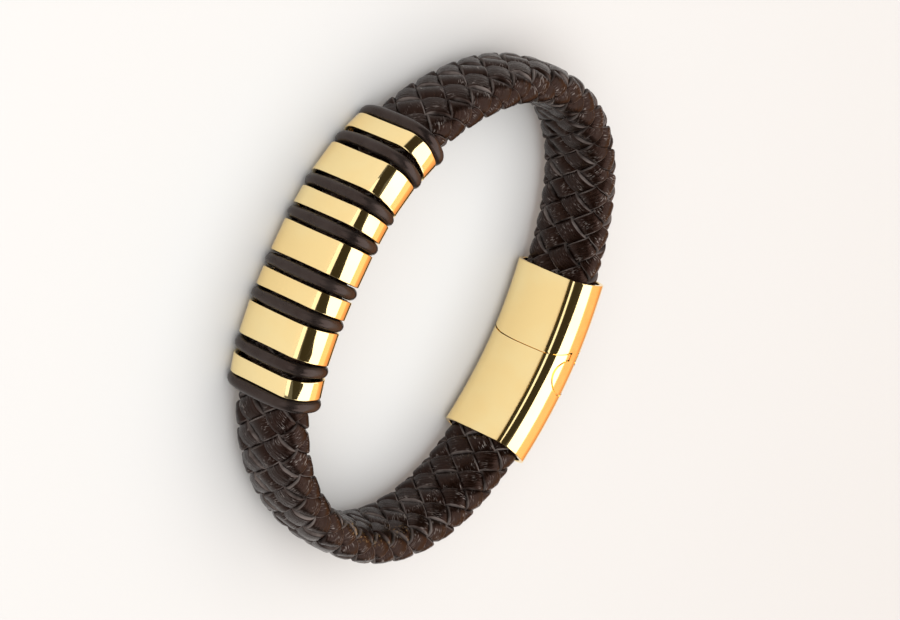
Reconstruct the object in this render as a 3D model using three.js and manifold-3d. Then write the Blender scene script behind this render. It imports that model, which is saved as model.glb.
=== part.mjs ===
// Braided leather bracelet with gold rings, rubber rings and a two-part gold clasp.
// It lies on its side: +Z is up, the loop runs in the XY plane, millimetres.
// The rings are on the -X side of the loop and the clasp is on the +X side.
import * as THREE from "three";
import { mergeVertices } from "three/addons/utils/BufferGeometryUtils.js";
import Module from "manifold-3d";

// Loop: distance of the strap's centre line from the loop's middle, as a rounded oval.
const LOOP_RADIUS = 30.84;
const LOOP_OVAL = -0.134;
const LOOP_LEAN = -0.042;
const LOOP_EGG = 0.022;
const LOOP_EGG_LEAN = -0.0055;
const LOOP_SQUARE_LEAN = 0.008;
const LOOP_FLAT = -0.012;
const LOOP_STEPS = 2880;

// Strap: a flat oval, a little narrower where the rings grip it and inside the clasp.
const STRAP_WIDTH = 12.0;
const STRAP_THICKNESS = 5.4;
const STRAP_OVALNESS = 2.6;
const STRAP_SIDES = 18;
const STRAP_STEPS = 66;
const GRIP_WIDTH = 11.2;
const GRIP_THICKNESS = 4.8;
const GRIP_EASE = 3.0;

// Gold rings: straight tubes with rounded corners.
const RING_WIDTH = 14.4;
const RING_THICKNESS = 7.3;
const RING_CORNER = 3.2;
const RING_WALL = 0.65;
const RING_CHAMFER = 0.15;
const NARROW_LENGTH = 2.7;
const WIDE_LENGTH = 4.7;
const RING_RUN_START = 22.41;
const RING_SPACES = [2.4, 2.0, 2.1, 2.2, 2.0, 2.3];
const RING_CORNER_STEPS = 5;

// Rubber rings: oval rings of round section, halfway between two gold rings.
const RUBBER_RADIAL = 1.55;
const RUBBER_AXIAL = 1.55;
const RUBBER_CLEARANCE = 0.3;
const RUBBER_SIDE_GAP = 0.15;
const RUBBER_END_SPACE = 1.05;
const RUBBER_SIDES = 8;
const RUBBER_STEPS = 22;

// Clasp: a curved box in two halves that part along a seam with a keyhole tongue.
const CLASP_START = 88.47;
const CLASP_LENGTH = 28.0;
const CLASP_WIDTH = 14.0;
const CLASP_THICKNESS = 7.3;
const CLASP_CORNER = 2.9;
const CLASP_WALL = 0.65;
const CLASP_CHAMFER = 0.15;
const CLASP_STEPS = 16;
const CORNER_STEPS = 4;
const SOCKET_DEPTH = 8.5;
const SOCKET_STEPS = 5;
const STRAP_INSERT = 8.0;
const SEAM_AT = 11.1;
const SEAM_DIP = 1.5;
const SEAM_DIP_EASE = 2.2;
const SEAM_RISE = 0.4;
const SEAM_TILT = -0.36;
const SEAM_GAP = 0.3;
const SEAM_ROWS = 14;
const TONGUE_NECK = 1.3;
const TONGUE_NECK_WIDTH = 1.5;
const TONGUE_RADIUS = 2.6;
const TONGUE_OFFSET = 0.72;
const TONGUE_DEPTH = 2.0;
const TONGUE_STEPS = 24;

const LEATHER = { color: 0x1b1715, roughness: 0.62, metalness: 0.0 };
const GOLD = { color: 0xe2b66a, roughness: 0.16, metalness: 1.0 };
const RUBBER = { color: 0x121214, roughness: 0.55, metalness: 0.0 };

const wasm = await Module();
wasm.setup();

/** Distance of the centre line from the loop's middle at an angle from the -X side. */
function loopRadius(angle) {
  return LOOP_RADIUS * (1
    + LOOP_OVAL * Math.cos(2 * angle) + LOOP_LEAN * Math.sin(2 * angle)
    + LOOP_EGG * Math.cos(3 * angle) + LOOP_EGG_LEAN * Math.sin(3 * angle)
    + LOOP_SQUARE_LEAN * Math.sin(4 * angle) + LOOP_FLAT * Math.cos(5 * angle));
}

/** Point of the centre line at an angle. */
function loopPoint(angle) {
  const radius = loopRadius(angle);
  return new THREE.Vector2(-radius * Math.cos(angle), radius * Math.sin(angle));
}

/** Running length of the centre line at even angles, for one turn. */
function measureLoop() {
  const lengths = [0];
  for (let i = 1; i <= LOOP_STEPS; i += 1) {
    const before = loopPoint((2 * Math.PI * (i - 1)) / LOOP_STEPS);
    const after = loopPoint((2 * Math.PI * i) / LOOP_STEPS);
    lengths.push(lengths[i - 1] + before.distanceTo(after));
  }
  return lengths;
}

const loopLengths = measureLoop();
const loopLength = loopLengths[LOOP_STEPS];

/** Angle at a running length; lengths outside one turn wrap round. */
function loopAngle(length) {
  const turns = Math.floor(length / loopLength);
  const rest = length - turns * loopLength;
  let low = 0;
  let high = LOOP_STEPS;
  while (high - low > 1) {
    const middle = Math.floor((low + high) / 2);
    if (loopLengths[middle] <= rest) {
      low = middle;
    } else {
      high = middle;
    }
  }
  const part = (rest - loopLengths[low]) / (loopLengths[high] - loopLengths[low]);
  return 2 * Math.PI * (turns + (low + part) / LOOP_STEPS);
}

/** Place on the loop: its point, its direction and its outward side. */
function station(length) {
  const angle = loopAngle(length);
  const step = Math.PI / LOOP_STEPS;
  const point = loopPoint(angle);
  const along = loopPoint(angle + step).sub(loopPoint(angle - step)).normalize();
  const outward = new THREE.Vector2(-along.y, along.x);
  return { point, along, outward };
}

/** Space point at a place on the loop, offset along, outward and up. */
function placeAt(place, along, outward, up) {
  const flat = place.point.clone();
  flat.addScaledVector(place.along, along);
  flat.addScaledVector(place.outward, outward);
  return new THREE.Vector3(flat.x, flat.y, up);
}

/** Space point at a running length, offset outward and up, so shapes bend with the loop. */
function bend(length, outward, up) {
  return placeAt(station(length), 0, outward, up);
}

/** Superellipse outline as [outward, up] pairs. */
function ovalOutline(width, thickness, sides) {
  const outline = [];
  for (let i = 0; i < sides; i += 1) {
    const angle = (2 * Math.PI * i) / sides;
    const across = Math.cos(angle);
    const up = Math.sin(angle);
    const power = 2 / STRAP_OVALNESS;
    outline.push([
      (thickness / 2) * Math.sign(across) * Math.abs(across) ** power,
      (width / 2) * Math.sign(up) * Math.abs(up) ** power,
    ]);
  }
  return outline;
}

/** Rectangle with rounded corners as [outward, up] pairs. */
function roundedOutline(width, thickness, corner, steps) {
  const outline = [];
  const reachOut = thickness / 2 - corner;
  const reachUp = width / 2 - corner;
  const centres = [[reachOut, reachUp], [-reachOut, reachUp], [-reachOut, -reachUp], [reachOut, -reachUp]];
  centres.forEach(([outward, up], quarter) => {
    for (let i = 0; i <= steps; i += 1) {
      const angle = (Math.PI / 2) * (quarter + i / steps);
      outline.push([outward + corner * Math.cos(angle), up + corner * Math.sin(angle)]);
    }
  });
  return outline;
}

/** Closed solid from rows of points that all have the same count; fans close both ends. */
function loftSolid(rows) {
  const count = rows[0].length;
  const points = rows.flat();
  const faces = [];
  for (let row = 0; row + 1 < rows.length; row += 1) {
    for (let i = 0; i < count; i += 1) {
      const next = (i + 1) % count;
      const a = row * count + i;
      const b = row * count + next;
      faces.push(a, b, a + count, b, b + count, a + count);
    }
  }
  [0, rows.length - 1].forEach((row, side) => {
    const centre = rows[row].reduce((sum, point) => sum.add(point), new THREE.Vector3());
    points.push(centre.multiplyScalar(1 / count));
    for (let i = 0; i < count; i += 1) {
      const a = row * count + i;
      const b = row * count + ((i + 1) % count);
      faces.push(...(side === 0 ? [b, a] : [a, b]), points.length - 1);
    }
  });
  return solidGeometry(points, faces);
}

/** Closed ring-shaped solid from rows of points; the last row joins the first. */
function ringSolid(rows) {
  const count = rows[0].length;
  const faces = [];
  rows.forEach((unused, row) => {
    const after = (row + 1) % rows.length;
    for (let i = 0; i < count; i += 1) {
      const next = (i + 1) % count;
      faces.push(row * count + i, row * count + next, after * count + i);
      faces.push(row * count + next, after * count + next, after * count + i);
    }
  });
  return solidGeometry(rows.flat(), faces);
}

/** Indexed geometry from points and faces, turned so that its faces look outward. */
function solidGeometry(points, faces) {
  let volume = 0;
  for (let i = 0; i < faces.length; i += 3) {
    const [a, b, c] = [points[faces[i]], points[faces[i + 1]], points[faces[i + 2]]];
    volume += a.dot(new THREE.Vector3().crossVectors(b, c));
  }
  const index = volume < 0 ? faces.slice().reverse() : faces;
  const geometry = new THREE.BufferGeometry().setFromPoints(points);
  geometry.setIndex(index);
  geometry.computeVertexNormals();
  return geometry;
}

/** Manifold solid of a geometry. */
function toManifold(geometry) {
  const bare = new THREE.BufferGeometry();
  bare.setAttribute("position", geometry.getAttribute("position"));
  bare.setIndex(geometry.getIndex());
  const merged = mergeVertices(bare);
  return new wasm.Manifold(new wasm.Mesh({
    numProp: 3,
    vertProperties: new Float32Array(merged.getAttribute("position").array),
    triVerts: new Uint32Array(merged.getIndex().array),
  }));
}

/** Geometry of a manifold solid. */
function fromManifold(solid) {
  const mesh = solid.getMesh();
  const geometry = new THREE.BufferGeometry();
  geometry.setAttribute("position", new THREE.BufferAttribute(new Float32Array(mesh.vertProperties), 3));
  geometry.setIndex(new THREE.BufferAttribute(new Uint32Array(mesh.triVerts), 1));
  geometry.computeVertexNormals();
  return geometry;
}

/** Mesh with a name and its own material. */
function namedMesh(name, geometry, finish) {
  const mesh = new THREE.Mesh(geometry, new THREE.MeshStandardMaterial(finish));
  mesh.name = name;
  return mesh;
}

/** Start, end and place of each gold ring, from the +Y end of the run. */
function ringSpans() {
  const spans = [];
  let start = RING_RUN_START;
  for (let i = 0; i <= RING_SPACES.length; i += 1) {
    const length = i % 2 === 0 ? NARROW_LENGTH : WIDE_LENGTH;
    spans.push({ start, end: start - length, place: station(start - length / 2) });
    start -= length + (RING_SPACES[i] ?? 0);
  }
  return spans;
}

/** How far the strap is squeezed at a running length: 0 free, 1 gripped by the rings. */
function gripAt(length, spans) {
  const first = spans[0].start + RUBBER_END_SPACE + RUBBER_AXIAL;
  const last = spans[spans.length - 1].end - RUBBER_END_SPACE - RUBBER_AXIAL;
  const outside = Math.max(length - first, last - length, 0);
  return 1 - THREE.MathUtils.smoothstep(outside, 0, GRIP_EASE);
}

/** Braided strap: one sweep from inside one clasp half, round the loop, into the other. */
function buildStrap(spans) {
  const start = CLASP_START + CLASP_LENGTH - STRAP_INSERT - loopLength;
  const end = CLASP_START + STRAP_INSERT;
  const rows = [];
  for (let i = 0; i <= STRAP_STEPS; i += 1) {
    const length = THREE.MathUtils.lerp(start, end, i / STRAP_STEPS);
    const grip = gripAt(length, spans);
    const width = THREE.MathUtils.lerp(STRAP_WIDTH, GRIP_WIDTH, grip);
    const thickness = THREE.MathUtils.lerp(STRAP_THICKNESS, GRIP_THICKNESS, grip);
    const outline = ovalOutline(width, thickness, STRAP_SIDES);
    rows.push(outline.map(([outward, up]) => bend(length, outward, up)));
  }
  return namedMesh("braided_strap", loftSolid(rows), LEATHER);
}

/** Gold ring: a straight tube across the strap, with chamfered outer rims. */
function buildGoldRing(name, span) {
  const half = (span.start - span.end) / 2;
  const wallOutline = (inset) => roundedOutline(
    RING_WIDTH - 2 * inset, RING_THICKNESS - 2 * inset, RING_CORNER - inset, RING_CORNER_STEPS);
  const outer = wallOutline(0);
  const eased = wallOutline(RING_CHAMFER);
  const inner = wallOutline(RING_WALL);
  const section = [
    [inner, -half], [eased, -half], [outer, RING_CHAMFER - half],
    [outer, half - RING_CHAMFER], [eased, half], [inner, half],
  ];
  const rows = outer.map((unused, i) => section.map(
    ([outline, along]) => placeAt(span.place, along, outline[i][0], outline[i][1])));
  return namedMesh(name, ringSolid(rows), GOLD);
}

/** Rubber ring: a round section carried round the gripped strap, thinner where it is squeezed. */
function buildRubberRing(name, seat) {
  const reach = RUBBER_CLEARANCE + RUBBER_RADIAL / 2;
  const core = ovalOutline(GRIP_WIDTH + 2 * reach, GRIP_THICKNESS + 2 * reach, RUBBER_STEPS);
  const rows = core.map(([outward, up], i) => {
    const before = core[(i + core.length - 1) % core.length];
    const after = core[(i + 1) % core.length];
    const away = new THREE.Vector2(after[1] - before[1], before[0] - after[0]).normalize();
    const section = [];
    for (let side = 0; side < RUBBER_SIDES; side += 1) {
      const angle = (2 * Math.PI * side) / RUBBER_SIDES;
      const radial = (RUBBER_RADIAL / 2) * Math.cos(angle);
      const offset = outward + away.x * radial;
      const room = seat.space + seat.wedge * offset - 2 * RUBBER_SIDE_GAP;
      const along = (Math.min(RUBBER_AXIAL, room) / 2) * Math.sin(angle);
      section.push(placeAt(seat.place, along, offset, up + away.y * radial));
    }
    return section;
  });
  return namedMesh(name, ringSolid(rows), RUBBER);
}

/** Flat point at the middle of a gold ring's end face; side is 1 at its start, -1 at its end. */
function ringFace(span, side) {
  const half = (span.start - span.end) / 2;
  return span.place.point.clone().addScaledVector(span.place.along, side * half);
}

/** Seat of a rubber ring at the free face of the first or last gold ring. */
function endSeat(span, side) {
  const point = ringFace(span, side).addScaledVector(span.place.along, side * RUBBER_END_SPACE);
  return { place: { ...span.place, point }, space: 2 * RUBBER_END_SPACE, wedge: 0 };
}

/** Seat of a rubber ring halfway between two gold rings, with the room that they leave it. */
function middleSeat(span, next) {
  const faces = [ringFace(span, -1), ringFace(next, 1)];
  const along = span.place.along.clone().add(next.place.along).normalize();
  const place = {
    point: faces[0].clone().lerp(faces[1], 1 / 2),
    along,
    outward: new THREE.Vector2(-along.y, along.x),
  };
  const turn = Math.asin(next.place.along.cross(span.place.along));
  return { place, space: faces[0].distanceTo(faces[1]), wedge: Math.abs(turn) };
}

/** Seats of the rubber rings: before, between and after the gold rings. */
function rubberSeats(spans) {
  const between = spans.slice(1).map((next, i) => middleSeat(spans[i], next));
  return [endSeat(spans[0], 1), ...between, endSeat(spans[spans.length - 1], -1)];
}

/** Sweep of a rounded outline along the clasp; each row is [length, inset]. */
function claspSweep(rowTable, width, thickness, corner) {
  const rows = rowTable.map(([length, inset]) => {
    const outline = roundedOutline(
      width - 2 * inset, thickness - 2 * inset, corner - inset, CORNER_STEPS);
    return outline.map(([outward, up]) => bend(CLASP_START + length, outward, up));
  });
  return toManifold(loftSolid(rows));
}

/** Whole clasp before it is parted: curved box with a blind socket at each end. */
function claspBody() {
  const outerRows = [[0, CLASP_CHAMFER]];
  for (let i = 0; i <= CLASP_STEPS; i += 1) {
    const run = CLASP_LENGTH - 2 * CLASP_CHAMFER;
    outerRows.push([CLASP_CHAMFER + (run * i) / CLASP_STEPS, 0]);
  }
  outerRows.push([CLASP_LENGTH, CLASP_CHAMFER]);
  let body = claspSweep(outerRows, CLASP_WIDTH, CLASP_THICKNESS, CLASP_CORNER);
  const socketEnds = [[-1, SOCKET_DEPTH], [CLASP_LENGTH - SOCKET_DEPTH, CLASP_LENGTH + 1]];
  for (const [from, to] of socketEnds) {
    const rows = [];
    for (let i = 0; i <= SOCKET_STEPS; i += 1) {
      rows.push([THREE.MathUtils.lerp(from, to, i / SOCKET_STEPS), 0]);
    }
    const socket = claspSweep(
      rows, CLASP_WIDTH - 2 * CLASP_WALL, CLASP_THICKNESS - 2 * CLASP_WALL, CLASP_CORNER - CLASP_WALL);
    body = body.subtract(socket);
  }
  return body;
}

/** Distance of the seam from the clasp's start, at a height and an outward offset. */
function seamLength(up, outward) {
  const fromFloor = Math.max(up + CLASP_WIDTH / 2, 0);
  const dip = SEAM_DIP * (1 - Math.exp(-fromFloor / SEAM_DIP_EASE));
  const rise = (SEAM_RISE * fromFloor) / CLASP_WIDTH;
  return SEAM_AT + dip - rise + SEAM_TILT * (outward + CLASP_THICKNESS / 2);
}

/** Space on the tongue's side of the seam, grown by a gap; cuts the clasp in two. */
function tongueSpace(gap) {
  const reachOut = CLASP_THICKNESS;
  const top = CLASP_WIDTH / 2;
  const rows = [];
  for (let i = 0; i <= SEAM_ROWS; i += 1) {
    const up = THREE.MathUtils.lerp(-top, top, (i / SEAM_ROWS) ** 2);
    const height = i === 0 ? -top - 1 : i === SEAM_ROWS ? top + 1 : up;
    rows.push([
      bend(CLASP_START - 2, -reachOut, height),
      bend(CLASP_START + seamLength(up, -reachOut) + gap, -reachOut, height),
      bend(CLASP_START + seamLength(up, reachOut) + gap, reachOut, height),
      bend(CLASP_START - 2, reachOut, height),
    ]);
  }
  const block = toManifold(loftSolid(rows));
  return block.add(toManifold(keyholeSolid(gap)));
}

/** Keyhole tongue: a round bulb on a neck, cut into the clasp's upper side. */
function keyholeSolid(gap) {
  const top = CLASP_WIDTH / 2;
  const radius = TONGUE_RADIUS + gap;
  const neck = TONGUE_NECK_WIDTH / 2 + gap;
  const seam = seamLength(top, TONGUE_OFFSET);
  const centre = seam + TONGUE_NECK + Math.sqrt(TONGUE_RADIUS ** 2 - (TONGUE_NECK_WIDTH / 2) ** 2);
  const opening = Math.asin(neck / radius);
  const outline = [[seam - TONGUE_NECK - centre, neck]];
  for (let i = 0; i <= TONGUE_STEPS; i += 1) {
    const angle = Math.PI - opening - ((2 * Math.PI - 2 * opening) * i) / TONGUE_STEPS;
    outline.push([radius * Math.cos(angle), radius * Math.sin(angle)]);
  }
  outline.push([seam - TONGUE_NECK - centre, -neck]);
  const heights = [top - TONGUE_DEPTH - gap, top + 1];
  const rows = heights.map((up) => outline.map(
    ([along, outward]) => bend(CLASP_START + centre + along, TONGUE_OFFSET + outward, up)));
  return loftSolid(rows);
}

/** Both clasp halves, with a thin gap along the seam. */
function buildClasp() {
  const body = claspBody();
  const tongueHalf = body.intersect(tongueSpace(0));
  const notchHalf = body.subtract(tongueSpace(SEAM_GAP));
  return [
    namedMesh("clasp_tongue_half", fromManifold(tongueHalf), GOLD),
    namedMesh("clasp_notch_half", fromManifold(notchHalf), GOLD),
  ];
}

/** Moves every geometry so that the origin is the bottom centre of the whole box. */
function seatOnOrigin(group) {
  const box = new THREE.Box3().setFromObject(group);
  const centre = box.getCenter(new THREE.Vector3());
  group.traverse((item) => {
    if (item.isMesh) {
      item.geometry.translate(-centre.x, -centre.y, -box.min.z);
    }
  });
}

const spans = ringSpans();
const bracelet = new THREE.Group();
bracelet.name = "leather_wrap_bracelet";
bracelet.add(buildStrap(spans));
spans.forEach((span, i) => bracelet.add(buildGoldRing(`gold_ring_${i + 1}`, span)));
rubberSeats(spans).forEach((seat, i) => {
  bracelet.add(buildRubberRing(`rubber_ring_${i + 1}`, seat));
});
bracelet.add(...buildClasp());
seatOnOrigin(bracelet);

export default bracelet;
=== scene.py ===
"""Looks of a braided leather bracelet with gold and rubber rings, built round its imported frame."""

from __future__ import annotations

import logging
import math
from dataclasses import dataclass
from enum import Enum
from typing import Callable, Iterable, Sequence

import bpy
import numpy as np
from mathutils import Matrix, Vector

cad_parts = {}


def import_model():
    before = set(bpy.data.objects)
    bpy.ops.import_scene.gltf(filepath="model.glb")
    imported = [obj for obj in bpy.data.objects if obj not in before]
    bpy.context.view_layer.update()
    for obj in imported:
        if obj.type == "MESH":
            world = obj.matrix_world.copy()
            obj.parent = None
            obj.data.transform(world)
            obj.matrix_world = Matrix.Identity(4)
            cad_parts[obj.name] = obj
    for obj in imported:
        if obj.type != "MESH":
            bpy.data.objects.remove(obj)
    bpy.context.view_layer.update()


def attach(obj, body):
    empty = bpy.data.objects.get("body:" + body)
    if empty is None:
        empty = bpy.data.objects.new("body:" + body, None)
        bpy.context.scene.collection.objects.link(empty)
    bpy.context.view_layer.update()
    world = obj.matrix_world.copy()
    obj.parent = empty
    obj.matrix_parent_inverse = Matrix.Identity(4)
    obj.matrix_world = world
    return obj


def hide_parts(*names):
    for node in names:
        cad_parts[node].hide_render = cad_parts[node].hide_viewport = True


LOG = logging.getLogger("bracelet")
MM = 0.001
BODY = "root"
Colour = tuple[float, float, float, float]
Spot = tuple[float, float, float]
Span = tuple[float, float]
Feeds = dict[str | int, object]
Item = bpy.types.Object


class Slot(Enum):
    """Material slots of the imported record."""

    LEATHER = "leather"
    GOLD = "gold"
    RUBBER = "rubber"


class Profile(Enum):
    """Cross-section of a ring that goes round the strap."""

    ROUND = "round"
    FLAT = "flat"


class Lean(Enum):
    """Way in which a family of thongs winds round the strap."""

    FALLING = -1.0
    RISING = 1.0


class Cut(Enum):
    """What a boolean step does with the space of its tool."""

    JOIN = "UNION"
    KEEP = "INTERSECT"
    REMOVE = "DIFFERENCE"


# --------------------------------------------------------------------------- the loop


def run_along(points: np.ndarray) -> np.ndarray:
    """Return the running length at each point of a line."""
    return np.concatenate(([0.0], np.cumsum(np.linalg.norm(np.diff(points, axis=0), axis=1))))


@dataclass(frozen=True)
class Loop:
    """Centre line of the strap, a rounded oval in the XY plane, in millimetres.

    Running lengths count from the -X side, towards the +Y side first.
    """

    middle_x: float = 0.7194
    middle_y: float = -0.4042
    height: float = 7.3875
    radius: float = 30.84
    oval: float = -0.134
    lean: float = -0.042
    egg: float = 0.022
    egg_lean: float = -0.0055
    square_lean: float = 0.008
    flat: float = -0.012
    reach: float = 4.4
    steps: int = 9001
    nudge: float = 1e-4

    def _at_angle(self, angle: np.ndarray) -> np.ndarray:
        """Return points of the centre line.

        Args:
            angle: Angles from the -X side, in radians.

        Returns:
            Array of x and y columns.
        """
        radius = self.radius * (
            1.0
            + self.oval * np.cos(2 * angle)
            + self.lean * np.sin(2 * angle)
            + self.egg * np.cos(3 * angle)
            + self.egg_lean * np.sin(3 * angle)
            + self.square_lean * np.sin(4 * angle)
            + self.flat * np.cos(5 * angle)
        )
        return np.stack((-radius * np.cos(angle), radius * np.sin(angle)), axis=-1)

    def _table(self) -> tuple[np.ndarray, np.ndarray]:
        """Return matching angles and running lengths."""
        angles = np.linspace(-self.reach, self.reach, self.steps)
        lengths = run_along(self._at_angle(angles))
        return angles, lengths - np.interp(0.0, angles, lengths)

    def place(self, length: np.ndarray) -> tuple[np.ndarray, np.ndarray, np.ndarray]:
        """Return points, directions and outward sides at running lengths.

        Args:
            length: Running lengths in millimetres.

        Returns:
            Points, unit directions and unit outward sides, each with x and y columns.
        """
        angles, lengths = self._table()
        angle = np.interp(np.asarray(length, float), lengths, angles)
        along = self._at_angle(angle + self.nudge) - self._at_angle(angle - self.nudge)
        along /= np.linalg.norm(along, axis=-1, keepdims=True)
        outward = np.stack((-along[..., 1], along[..., 0]), axis=-1)
        point = self._at_angle(angle) + np.array((self.middle_x, self.middle_y))
        return point, along, outward

    def bend(self, length: np.ndarray, outward: np.ndarray, up: np.ndarray) -> np.ndarray:
        """Return points in metres of a shape that bends with the loop.

        Args:
            length: Running lengths in millimetres.
            outward: Offsets away from the loop's middle, in millimetres.
            up: Heights over the centre line, in millimetres.

        Returns:
            Array with x, y and z columns, in metres.
        """
        length, outward, up = np.broadcast_arrays(length, outward, up)
        point, _, side = self.place(length)
        flat = point + side * outward[..., None]
        return np.concatenate((flat, (up + self.height)[..., None]), axis=-1) * MM

    def matrix(self, length: float) -> Matrix:
        """Return the place of a ring: its x is outward, its y is up and its z is along the strap.

        Args:
            length: Running length of the ring's middle, in millimetres.

        Returns:
            Matrix from ring space to object space, both in metres.
        """
        point, along, outward = self.place(np.array(length))
        return placing(Vector((*point, self.height)), Vector((*along, 0.0)), Vector((*outward, 0.0)))


def placing(point: Vector, along: Vector, outward: Vector) -> Matrix:
    """Return a matrix for a ring from its middle in millimetres and two of its directions.

    Args:
        point: Middle of the ring, in millimetres.
        along: Direction of the ring's axis.
        outward: Direction away from the loop's middle.

    Returns:
        Matrix with the middle in metres.
    """
    turn = Matrix((outward, Vector((0.0, 0.0, 1.0)), along)).transposed()
    return Matrix.Translation(point * MM) @ turn.to_4x4()


def oval_outline(width: float, thickness: float, ovalness: float, count: int) -> np.ndarray:
    """Return a superellipse outline that starts at its top and goes towards the wrist.

    Args:
        width: Size along the up direction.
        thickness: Size along the outward direction.
        ovalness: Exponent; 2 is an ellipse and more is squarer.
        count: Number of points.

    Returns:
        Array with outward and up columns.
    """
    finer = 40
    angle = np.linspace(0.0, 2 * math.pi, finer * count, endpoint=False)
    outward = -np.sign(np.sin(angle)) * np.abs(np.sin(angle)) ** (2 / ovalness) * thickness / 2
    up = np.sign(np.cos(angle)) * np.abs(np.cos(angle)) ** (2 / ovalness) * width / 2
    fine = np.stack((outward, up), axis=-1)
    ring = np.vstack((fine, fine[:1]))
    run = run_along(ring)
    even = np.linspace(0.0, run[-1], count, endpoint=False)
    return np.stack([np.interp(even, run, ring[:, axis]) for axis in (0, 1)], axis=-1)


def rounded_outline(width: float, thickness: float, corner: float, steps: int, run: int) -> np.ndarray:
    """Return a rectangle with rounded corners, with extra points along its flats.

    Args:
        width: Size along the up direction.
        thickness: Size along the outward direction.
        corner: Radius of the corners.
        steps: Number of steps round a corner.
        run: Number of steps along a flat.

    Returns:
        Array with outward and up columns.
    """
    reach_out, reach_up = thickness / 2 - corner, width / 2 - corner
    turns = ((1.0, 1.0), (-1.0, 1.0), (-1.0, -1.0), (1.0, -1.0))
    corners = [(out * reach_out, up * reach_up) for out, up in turns]
    points: list[np.ndarray] = []
    for quarter, centre in enumerate(corners):
        angle = math.pi / 2 * (quarter + np.linspace(0.0, 1.0, steps + 1))
        arc = np.stack((np.cos(angle), np.sin(angle)), axis=-1) * corner + np.array(centre)
        nxt = np.array(corners[(quarter + 1) % 4])
        after = nxt + corner * np.array((math.cos(angle[-1]), math.sin(angle[-1])))
        flat = arc[-1] + (after - arc[-1]) * (np.arange(1, run) / run)[:, None]
        points.extend((arc, flat))
    return np.vstack(points)


# --------------------------------------------------------------------------- mesh helpers


def link_object(name: str, data: bpy.types.ID) -> Item:
    """Return a new object, linked to the scene.

    Args:
        name: Name of the object.
        data: Its mesh, curve, light or camera.

    Returns:
        The new object.
    """
    made = bpy.data.objects.new(name, data)
    bpy.context.scene.collection.objects.link(made)
    return made


def applied_mesh(item: Item) -> bpy.types.Mesh:
    """Return a new mesh of an object with its modifiers applied.

    Args:
        item: Object with modifiers.

    Returns:
        The mesh with all its attributes.
    """
    graph = bpy.context.evaluated_depsgraph_get()
    graph.update()
    evaluated = item.evaluated_get(graph)
    return bpy.data.meshes.new_from_object(evaluated, preserve_all_data_layers=True, depsgraph=graph)


def add_mesh(name: str, points: np.ndarray, faces: Sequence[Sequence[int]]) -> Item:
    """Return a new object with a mesh, linked to the scene.

    Args:
        name: Name of the object and its mesh.
        points: Array of points in metres.
        faces: Corner numbers of each face.

    Returns:
        The new object.
    """
    mesh = bpy.data.meshes.new(name)
    mesh.from_pydata(points.reshape(-1, 3).tolist(), [], [list(face) for face in faces])
    mesh.validate()
    mesh.update()
    return link_object(name, mesh)


def loft(name: str, rows: Sequence[np.ndarray]) -> Item:
    """Return a closed solid through rows of points that all have the same count.

    Args:
        name: Name of the object.
        rows: Rows of points in metres; fans close the first and the last.

    Returns:
        The new object, with its faces turned outward.
    """
    count = len(rows[0])
    faces: list[tuple[int, ...]] = []
    for row in range(len(rows) - 1):
        for spot in range(count):
            nxt = (spot + 1) % count
            low, high = row * count, (row + 1) * count
            faces.append((low + spot, low + nxt, high + nxt, high + spot))
    ends = np.stack((rows[0].mean(axis=0), rows[-1].mean(axis=0)))
    total = len(rows) * count
    for spot in range(count):
        nxt = (spot + 1) % count
        faces.append((nxt, spot, total))
        faces.append((total - count + spot, total - count + nxt, total + 1))
    made = add_mesh(name, np.vstack((*rows, ends)), faces)
    turn_outward(made)
    return made


def turn_outward(item: Item) -> None:
    """Flip a closed mesh whose faces look inward.

    Args:
        item: Object with a closed mesh.
    """
    mesh = item.data
    mesh.calc_loop_triangles()
    corners = np.empty(len(mesh.loop_triangles) * 3, dtype=np.int32)
    mesh.loop_triangles.foreach_get("vertices", corners)
    places = np.empty(len(mesh.vertices) * 3)
    mesh.vertices.foreach_get("co", places)
    a, b, c = places.reshape(-1, 3)[corners.reshape(-1, 3)].transpose(1, 0, 2)
    if float(np.einsum("ij,ij->i", a, np.cross(b, c)).sum()) < 0.0:
        mesh.flip_normals()


def add_line(name: str, points: np.ndarray, closed: bool) -> Item:
    """Return a curve object that a node tree can follow.

    Args:
        name: Name of the object.
        points: Array of points in metres.
        closed: Whether the curve joins its own start.

    Returns:
        The new object.
    """
    curve = bpy.data.curves.new(name, "CURVE")
    curve.dimensions = "3D"
    spline = curve.splines.new("POLY")
    spline.points.add(len(points) - 1)
    spline.points.foreach_set("co", np.hstack((points, np.ones((len(points), 1)))).ravel())
    spline.use_cyclic_u = closed
    return link_object(name, curve)


def add_outline(name: str, outline: np.ndarray) -> Item:
    """Return a closed curve object from an outline in millimetres."""
    return add_line(name, np.column_stack((outline, np.zeros(len(outline)))) * MM, True)


def remove(items: Iterable[Item]) -> None:
    """Delete helper objects and what they held.

    Args:
        items: Objects that the finished scene doesn't keep.
    """
    for item in items:
        bpy.data.objects.remove(item, do_unlink=True)


def settle(piece: Item, nodes: Sequence[str]) -> None:
    """Ride a finished piece on the frame in place of its CAD nodes and report it.

    Args:
        piece: Finished object, at the origin.
        nodes: CAD nodes that the piece stands for.
    """
    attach(piece, BODY)
    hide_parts(*nodes)
    piece.data.calc_loop_triangles()
    LOG.info("%s: %d triangles", piece.name, len(piece.data.loop_triangles))


# --------------------------------------------------------------------------- node helpers


def arithmetic(operation: str, swapped: bool = False) -> Callable[["Term", "Term | float"], "Term"]:
    """Return an arithmetic method for terms.

    Args:
        operation: Operation of the math node.
        swapped: Whether the term is the second value.

    Returns:
        The method.
    """

    def method(self: "Term", other: "Term | float") -> "Term":
        """Return the result as a term."""
        values = (other, self) if swapped else (self, other)
        return self.graph.maths(operation, *values)

    return method


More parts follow.
